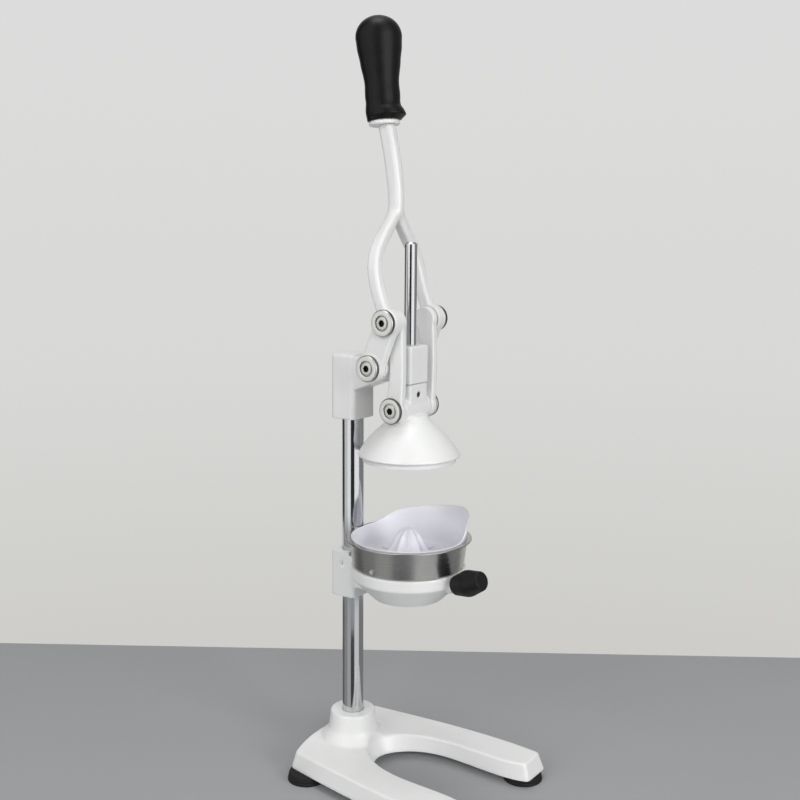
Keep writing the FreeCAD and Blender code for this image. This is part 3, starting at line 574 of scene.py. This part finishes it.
def pair_rule():
    """One turned piece on each side of the press, each facing outwards."""
    rule = Rule("pivot pair", side=0.04, front=0.0, height=0.4)
    side = rule.size("side")
    line = rule.node("GeometryNodeMeshLine", {"mode": "OFFSET"}, {
        "Count": 2, "Start Location": rule.xyz(0.0 - side, rule.size("front"), rule.size("height")),
        "Offset": rule.xyz(side * 2.0, 0.0, 0.0)})
    index = rule.amount(rule.node("GeometryNodeInputIndex").outputs[0])
    turn = rule.xyz(0.0, (index * 2.0 - 1.0) * (math.pi / 2.0), 0.0)
    pair = rule.node("GeometryNodeInstanceOnPoints", inputs={
        "Points": line.outputs[0], "Instance": rule.given.outputs["Piece"], "Rotation": turn})
    rule.close(pair.outputs[0])
    return rule


def feet_rule():
    """Four feet: a wide pair at the front and a narrower pair at the rear."""
    rule = Rule("feet", rear_side=0.064, rear=0.08, front_side=0.067, front=-0.09)
    pairs = rule.node("GeometryNodeJoinGeometry")
    for side, place in (("rear_side", "rear"), ("front_side", "front")):
        half = rule.size(side)
        line = rule.node("GeometryNodeMeshLine", {"mode": "OFFSET"}, {
            "Count": 2, "Start Location": rule.xyz(0.0 - half, rule.size(place), 0.0),
            "Offset": rule.xyz(half * 2.0, 0.0, 0.0)})
        rule.tree.links.new(line.outputs[0], pairs.inputs[0])
    four = rule.node("GeometryNodeInstanceOnPoints", inputs={
        "Points": pairs.outputs[0], "Instance": rule.given.outputs["Piece"]})
    rule.close(four.outputs[0])
    return rule


# Height of the splash guard round the insert: share of the turn, share of the full rise.
GUARD = [(0.0, 0.795), (0.0167, 0.836), (0.0556, 0.931), (0.0944, 0.991), (0.1306, 1.0),
         (0.1611, 0.871), (0.1861, 0.543), (0.2083, 0.172), (0.2333, 0.017), (0.26, 0.0),
         (0.755, 0.0), (0.7833, 0.017), (0.8111, 0.095), (0.8444, 0.302), (0.8806, 0.5),
         (0.9222, 0.612), (0.9722, 0.724), (1.0, 0.795)]


def strainer_rule():
    """The insert: an outline turned round, raised into a guard at the front right, its cone fluted."""
    rule = Rule("strainer", around=288, along=150, middle=PRESS_Y * MM, foot=0.2482, lip=0.2542,
                rise=0.0232, flare=0.16, flutes=10, flute_depth=0.0022, cone=0.0262, floor=0.2335)
    grid = rule.node("GeometryNodeMeshGrid", inputs={
        "Size X": 1.0, "Size Y": 1.0, "Vertices X": rule.given.outputs["around"],
        "Vertices Y": rule.given.outputs["along"]})
    place = rule.node("ShaderNodeSeparateXYZ", inputs={
        0: rule.node("GeometryNodeInputPosition").outputs[0]})
    share = rule.amount(place.outputs[0]) + 0.5
    outline = rule.node("GeometryNodeMeshToCurve", inputs={0: rule.given.outputs["Piece"]})
    sample = rule.node("GeometryNodeSampleCurve", {"mode": "FACTOR"}, {
        "Curves": outline.outputs[0], "Factor": rule.amount(place.outputs[1]) + 0.5})
    spot = rule.node("ShaderNodeSeparateXYZ", inputs={0: sample.outputs["Position"]})
    radius, height = rule.amount(spot.outputs[0]), rule.amount(spot.outputs[2])
    guard = rule.node("ShaderNodeFloatCurve", {"curve": GUARD}, {"Value": share})
    foot, lip = rule.size("foot"), rule.size("lip")
    reach = ((height - foot) / (lip - foot)).clipped() * ((radius - 0.045) / 0.002).clipped()
    reach = reach * rule.amount(guard.outputs[0]) * rule.size("rise")
    angle = share * (2.0 * math.pi)
    groove = (angle * rule.size("flutes") * 0.5).sine().absolute()
    on_cone = ((rule.size("cone") - radius) / 0.0012).clipped()
    on_cone = on_cone * ((height - rule.size("floor")) / 0.004).clipped()
    depth = groove * on_cone * (radius / 0.012).clipped() * rule.size("flute_depth")
    wide = radius + reach * rule.size("flare") - depth
    tall = height + reach
    moved = rule.node("GeometryNodeSetPosition", inputs={
        "Geometry": grid.outputs[0],
        "Position": rule.xyz(wide * angle.cosine(), rule.size("middle") - wide * angle.sine(), tall)})
    welded = rule.node("GeometryNodeMergeByDistance", inputs={
        "Geometry": moved.outputs[0], "Distance": 0.000002})
    rule.close(welded.outputs[0])
    return rule


def slots_rule():
    """Slots in a ring, cut through a floor."""
    rule = Rule("floor slots", slots=24, ring=0.038, length=0.014, width=0.0022, deep=0.006,
                middle=PRESS_Y * MM, height=0.231)
    circle = rule.node("GeometryNodeMeshCircle", inputs={
        "Vertices": rule.given.outputs["slots"], "Radius": rule.size("ring")})
    bar = rule.node("GeometryNodeMeshCube", inputs={
        "Size": rule.xyz(rule.size("length"), rule.size("width"), rule.size("deep"))})
    index = rule.amount(rule.node("GeometryNodeInputIndex").outputs[0])
    turn = rule.xyz(0.0, 0.0, index * (2.0 * math.pi) / rule.size("slots"))
    ring = rule.node("GeometryNodeInstanceOnPoints", inputs={
        "Points": circle.outputs[0], "Instance": bar.outputs[0], "Rotation": turn})
    placed = rule.node("GeometryNodeTransform", inputs={
        "Geometry": rule.node("GeometryNodeRealizeInstances", inputs={
            "Geometry": ring.outputs[0]}).outputs[0],
        "Translation": rule.xyz(0.0, rule.size("middle"), rule.size("height"))})
    cut = rule.node("GeometryNodeMeshBoolean", {"operation": "DIFFERENCE"}, {
        "Mesh 1": rule.given.outputs["Piece"]})
    rule.tree.links.new(placed.outputs[0], cut.inputs["Mesh 2"])
    rule.close(cut.outputs[0])
    return rule


# Pieces of the press.
def soled(thing, sole, trim=1.2):
    """Cuts the smoothed skin just above its lowest face and closes it with a crisp flat one."""
    work = bmesh.new()
    work.from_mesh(thing.data)
    cut = bmesh.ops.bisect_plane(
        work, geom=work.verts[:] + work.edges[:] + work.faces[:], clear_inner=True,
        plane_co=(0.0, 0.0, (sole + trim) * MM), plane_no=(0.0, 0.0, 1.0))
    rim = [part for part in cut["geom_cut"] if isinstance(part, bmesh.types.BMEdge)]
    wall = bmesh.ops.extrude_edge_only(work, edges=rim)["geom"]
    lowest = {part for part in wall if isinstance(part, bmesh.types.BMVert)}
    for vertex in lowest:
        vertex.co.z = sole * MM
    edges = [part for part in wall if isinstance(part, bmesh.types.BMEdge)]
    ring = [edge for edge in edges if lowest.issuperset(edge.verts)]
    bmesh.ops.triangle_fill(work, edges=ring, use_beauty=True)
    bmesh.ops.recalc_face_normals(work, faces=work.faces)
    work.to_mesh(thing.data)
    work.free()
    return tidied(thing, 50.0)


def column_hole(start, end):
    return (COLUMN_R, (0, COLUMN_Y, start), (0, COLUMN_Y, end))


def castings():
    pedestal = ((0, COLUMN_Y - 6, 29), 46, 50, 46.0)
    lower_rim = ((0, 0, -1000), 2000, 12, 12.0)
    base = casting("base", "base_frame", 1.05, 4, [column_hole(COLUMN_FOOT_Z, 60)],
                   joints=[pedestal, lower_rim], snug=True)
    soled(base, SOLE_Z)
    finished(base, enamel, "stand", "cast_white", "base_frame")

    rod_hole = (GUIDE_BORE_R, (0, PRESS_Y, 400), (0, PRESS_Y, 450))
    head = casting("head", "head_casting", 0.8, 6, [rod_hole, column_hole(360, COLUMN_TOP_Z)])
    finished(head, enamel, "stand", "cast_white", "head_casting")

    holder = casting("holder", "holder_casting", 0.9, 6, [column_hole(170, 235)])
    finished(holder, enamel, "stand", "cast_white", "holder_casting")

    lever = casting("lever_arm", "lever_casting", 0.8, 6, joints=[(FORK, 30, 70)])
    finished(lever, enamel, "lever", "cast_white", "lever_casting")

    for side, sign in (("left", -1), ("right", 1)):
        plug = (5.4, (22.0 * sign, PRESS_Y, UPPER_Z), (25.0 * sign, PRESS_Y, UPPER_Z))
        link = casting("link_bar_" + side, "link_" + side, 0.5, 5, fills=[plug])
        finished(link, enamel, "links", "cast_white", "link_" + side)

    screw_hole = (NECK_SCREW_R, (0, PRESS_Y - 8, NECK_SCREW_Z), (0, PRESS_Y - 16, NECK_SCREW_Z))
    bell = casting("press_bell", "press_cup", 0.9, 7, [screw_hole])
    finished(bell, enamel, "press", "cast_white", "press_cup")


def grips():
    """The hand grip, with its waist, and the side knob."""
    grip = casting("hand_grip", "grip", 0.8, 5)
    swelled(grip, GRIP_FOOT, GRIP_TOP, [
        (0.0, 0.6), (0.09, 1.3), (0.2, 0.1), (0.38, -1.6), (0.56, -0.5), (0.7, 0.4), (1.0, 0.0)])
    finished(grip, grip_black, "lever", "grip_black", "grip")
    knob = casting("side_knob", "hand_knob", 0.5, 5)
    finished(knob, knob_black, "stand", "grip_black", "hand_knob")


def cap_outline(thick):
    """A pivot cap, outwards from the face that it sits on, with a pocket for the screw's head."""
    return [(5.0, 0.0), (12.2, 0.0), (12.6, 0.4), (12.6, thick - 1.2), (11.5, thick - 0.1),
            (9.6, thick), (7.7, thick), (7.2, thick - 0.4), (7.2, 1.6), (5.0, 1.6)]


def screw_outline(shank, thick):
    """The screw of that cap, from the foot of its socket over the head to the end of its shank."""
    face = thick - 0.2
    return [(0.0, 1.7), (3.0, 2.1), (3.0, face - 0.25), (3.3, face), (5.2, face), (5.7, face - 0.1),
            (6.5, face - 0.8), (6.5, 1.9), (6.2, 1.6), (5.0, 1.6), (5.0, 0.4 - shank),
            (4.6, -shank), (0.0, -shank)]


def pivots():
    """Caps and screws of the three pivot lines: seat, place, cap's thickness, shank's length, body."""
    pair = pair_rule()
    places = (("upper", CAP_SEAT, PRESS_Y, UPPER_Z, 4.8, 16.0, "links"),
              ("middle", CAP_SEAT, CRANK_Y, CRANK_Z, 4.8, 19.1, "stand"),
              ("lower", LOWER_CAP_SEAT, PRESS_Y, LOWER_Z, 3.6, 7.4, "links"))
    for name, side, front, height, thick, shank, body in places:
        seat = {"side": side * MM, "front": front * MM, "height": height * MM}
        cap = turned(name + "_caps", eased(cap_outline(thick), 0.18, 2, closed=True), 120, closed=True)
        pair.made(cap, cap_steel, **seat)
        finished(tidied(cap, 40.0), cap_steel, body, "cap_steel", name + "_pivot_caps")
        outline = screw_outline(shank, thick)
        screw = turned(name + "_screws", outline, 96, six=(1, 2))
        pair.made(screw, screw_steel, **seat)
        finished(tidied(screw, 30.0), screw_steel, body, "pivot_steel", name + "_pivot_screws")


def feet():
    """Four moulded rubber feet, each with a groove round it and a stud in the base."""
    outline = [(0.0, 0.0), (14.0, 0.0), (14.4, 0.6), (16.0, 0.6), (16.4, 0.0), (19.6, 0.0),
               (20.0, 0.5), (19.7, 2.2), (19.1, 2.8), (19.0, 3.4), (19.3, 4.0), (18.3, 7.9),
               (17.8, 8.4), (5.0, 8.4), (5.0, 13.2), (0.0, 13.4)]
    foot = turned("feet", eased(outline, 0.4, 2), 96)
    feet_rule().made(foot, foot_rubber, rear_side=0.064, rear=0.0825, front_side=0.067, front=-0.0935)
    finished(tidied(foot, 40.0), foot_rubber, "stand", "feet_rubber", "rubber_feet")


def steel_bowl():
    """Pressed steel cup with an out-turned rim; the rim is notched to pass the column."""
    outline = [(46.0, 225.0), (55.0, 225.0), (58.3, 252.2), (62.3, 252.1), (62.5, 252.7), (62.3, 253.4),
               (57.3, 253.4), (57.0, 253.0), (53.8, 226.2), (46.0, 226.2)]
    cup = turned("steel_bowl", eased(outline, 0.9, 4, closed=True), 192, closed=True)
    stood(cup, (0, PRESS_Y, 0))
    drilled(cup, [(11.7, (0, COLUMN_Y, 220), (0, COLUMN_Y, 260))])
    finished(tidied(cup, 35.0), cup_steel, "cup", "cup_steel", "steel_cup")


def strainer():
    """The insert: floor, wall and cone in one outline, then the slots cut through its floor."""
    outline = [(0, 230), (51.03, 230), (54.03, 233), (56.84, 254.2), (55.04, 254.2), (52.23, 234),
               (50.03, 231.8), (25, 231.8), (22, 238), (11, 256), (5, 261), (0, 262)]
    line = eased(outline, 1.4, 4)
    mesh = bpy.data.meshes.new("insert")
    points = [(radius * MM, 0, height * MM) for radius, height in line]
    mesh.from_pydata(points, [(index, index + 1) for index in range(len(line) - 1)], [])
    insert = shown("insert", mesh)
    strainer_rule().made(insert, insert_white)
    tidied(insert, 50.0)
    slots_rule().made(insert, insert_white)
    finished(tidied(insert, 50.0), insert_white, "insert", "insert_white", "strainer_insert")


def kept_nodes():
    """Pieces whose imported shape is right; they only get their finish."""
    for node, material in (("column_tube", column_chrome), ("guide_rod", rod_chrome),
                           ("knob_stem", spacer_steel), ("holder_set_screw", enamel),
                           ("neck_set_screw", dark_steel), ("upper_pivot_spacers", spacer_steel),
                           ("middle_pivot_spacers", spacer_steel), ("press_liner", liner_white),
                           ("cup_rivet", rivet_steel), ("grip_collar", collar_white)):
        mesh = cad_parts[node].data
        mesh.materials.clear()
        mesh.materials.append(material)


castings()
grips()
pivots()
feet()
steel_bowl()
strainer()
kept_nodes()


# Studio: a plain table whose far edge lies behind the press, soft lamps, a pale background.
def table_finish():
    matt = Finish("table_grey", tone(164, 165, 167), 0.6, Specular_IOR_Level=0.0)
    matt.colour(matt.blend(matt.grain(3.0, 3.0), tone(164, 165, 167), tone(170, 171, 173)))
    return matt.material


def table():
    """The table's top, 12 m wide and 8 m deep, from two places on its far edge."""
    edge = (Vector((0.0414, 0.5234, 0.0)), Vector((0.486, -0.1315, 0.0)))
    side = (edge[1] - edge[0]).normalized() * 6.0
    near = Vector((side.y, -side.x, 0.0)).normalized() * 8.0
    middle = (edge[0] + edge[1]) / 2.0
    corners = [middle - side, middle + side, middle + side + near, middle - side + near]
    mesh = bpy.data.meshes.new("table")
    mesh.from_pydata([corner[:] for corner in corners], [], [(0, 1, 2, 3)])
    top = shown("table", mesh)
    if mesh.polygons[0].normal.z < 0:
        mesh.flip_normals()
    mesh.materials.append(table_finish())


def towards(degrees):
    """Away from the column, at an angle from the camera's side towards the front of the press."""
    turn = math.radians(CAMERA_SIDE + degrees)
    return Vector((math.cos(turn), math.sin(turn), 0.0))


def card(name, start, stop, level, below, spread=0.5):
    """A board that only polished surfaces show: one part upright between two angles, and a
    sector below it on the table, each with its own brightness."""
    middle = towards((start + stop) / 2.0)
    side = Vector((-middle.y, middle.x, 0.0))
    side *= BOARD_AWAY * math.tan(math.radians((stop - start) / 2.0))
    centre = middle * BOARD_AWAY + Vector((0, COLUMN_Y * MM, 0))
    rise = Vector((0, 0, BOARD_TALL))
    lit_board(name, [centre - side, centre + side, centre + side + rise, centre - side + rise], level)
    foot = Vector((0, COLUMN_Y * MM, 0.0006))
    edge = [foot + towards(start + (stop - start) * step / 8.0) * spread for step in range(9)]
    lit_board(name + "_below", [foot] + edge, below)


def lit_board(name, points, level):
    """One flat glowing face that the camera and the light on plain surfaces pass by."""
    mesh = bpy.data.meshes.new(name)
    mesh.from_pydata([point[:] for point in points], [], [tuple(range(len(points)))])
    board = shown(name, mesh)
    glow = Finish(name, (0, 0, 0, 1), 1.0, Emission_Color=(level, level, level, 1.0),
                  Emission_Strength=1.0, Specular_IOR_Level=0.0)
    mesh.materials.append(glow.material)
    board.visible_camera = False
    board.visible_diffuse = False
    board.visible_shadow = False


def lamp(name, place, target, size, power):
    """A soft square lamp that looks at a place."""
    light = bpy.data.lights.new(name, "AREA")
    light.shape = "SQUARE"
    light.size = size
    light.energy = power
    thing = bpy.data.objects.new(name, light)
    bpy.context.scene.collection.objects.link(thing)
    thing.location = place
    thing.rotation_euler = (Vector(target) - Vector(place)).to_track_quat("-Z", "Y").to_euler()


class Surroundings(Nodes):
    """The room: its wall shows to the camera and in metal, and its light is plain."""

    def __init__(self):
        world = bpy.data.worlds.new("room")
        bpy.context.scene.world = world
        world.use_nodes = True
        self.tree = world.node_tree
        self.tree.nodes.clear()
        seen = self.node("ShaderNodeSeparateXYZ", inputs={
            0: self.node("ShaderNodeTexCoord").outputs["Generated"]})
        height = self.amount(seen.outputs["Z"])
        wall = self.node("ShaderNodeValToRGB", {"stops": [
            (0.0, tone(204, 203, 200)), (0.42, tone(216, 216, 214)), (1.0, tone(221, 221, 221))]},
            {"Fac": (height + 0.4) / 0.65})
        path = self.node("ShaderNodeLightPath")
        shows = self.amount(path.outputs["Is Camera Ray"]) + self.amount(path.outputs["Is Glossy Ray"])
        shows = (shows + self.amount(path.outputs["Is Transmission Ray"])).clipped()
        level = 0.26 + 0.14 * height + 0.08 * self.amount(seen.outputs["Y"])
        light = self.node("ShaderNodeBackground", inputs={"Color": (1.0, 1.0, 1.0, 1.0), "Strength": level})
        back = self.node("ShaderNodeBackground", inputs={"Color": wall.outputs[0], "Strength": 1.0})
        mixed = self.node("ShaderNodeMixShader", inputs={0: shows, 1: light.outputs[0], 2: back.outputs[0]})
        self.node("ShaderNodeOutputWorld", inputs={"Surface": mixed.outputs[0]})


def camera():
    """The camera, fitted to the column, the base, the pivots and the cup."""
    eye = bpy.data.cameras.new("camera")
    eye.sensor_width = 36.0
    eye.lens = 47.41
    eye.shift_x = -0.0081
    eye.clip_start = 0.05
    eye.clip_end = 60.0
    thing = bpy.data.objects.new("camera", eye)
    bpy.context.scene.collection.objects.link(thing)
    right = Vector((0.5839, -0.8118, 0.0083))
    up = Vector((0.1226, 0.0983, 0.9877))
    ahead = Vector((0.80248, 0.57568, -0.15688))
    turn = Matrix((right, up, -ahead)).transposed()
    thing.matrix_world = Matrix.Translation((-0.8191, -0.5792, 0.54885)) @ turn.to_4x4()
    bpy.context.scene.camera = thing


table()
card("dark_board", -23.0, 14.0, 0.03, 0.07, 0.37)
card("bright_board", -62.0, -25.0, 1.05, 0.46)
card("pale_board", -98.0, -64.0, 0.72, 0.3)
card("left_board", -150.0, -104.0, 0.05, 0.14)
card("front_board", 16.0, 66.0, 1.1, 0.75)
card("right_board", 68.0, 150.0, 0.27, 0.24)
lamp("overhead", (-0.1, 0.15, 3.2), (0.0, 0.0, 0.3), 1.3, 20.5)
lamp("left", (-1.9, 0.1, 1.05), (0.0, 0.0, 0.4), 1.4, 14.0)
lamp("front", (-0.35, -2.0, 0.8), (0.0, 0.0, 0.4), 0.8, 16.5)
lamp("front_left", (-1.3, -1.5, 1.3), (0.0, 0.0, 0.35), 0.9, 8.2)
Surroundings()
camera()
bpy.context.scene.view_settings.view_transform = "Standard"
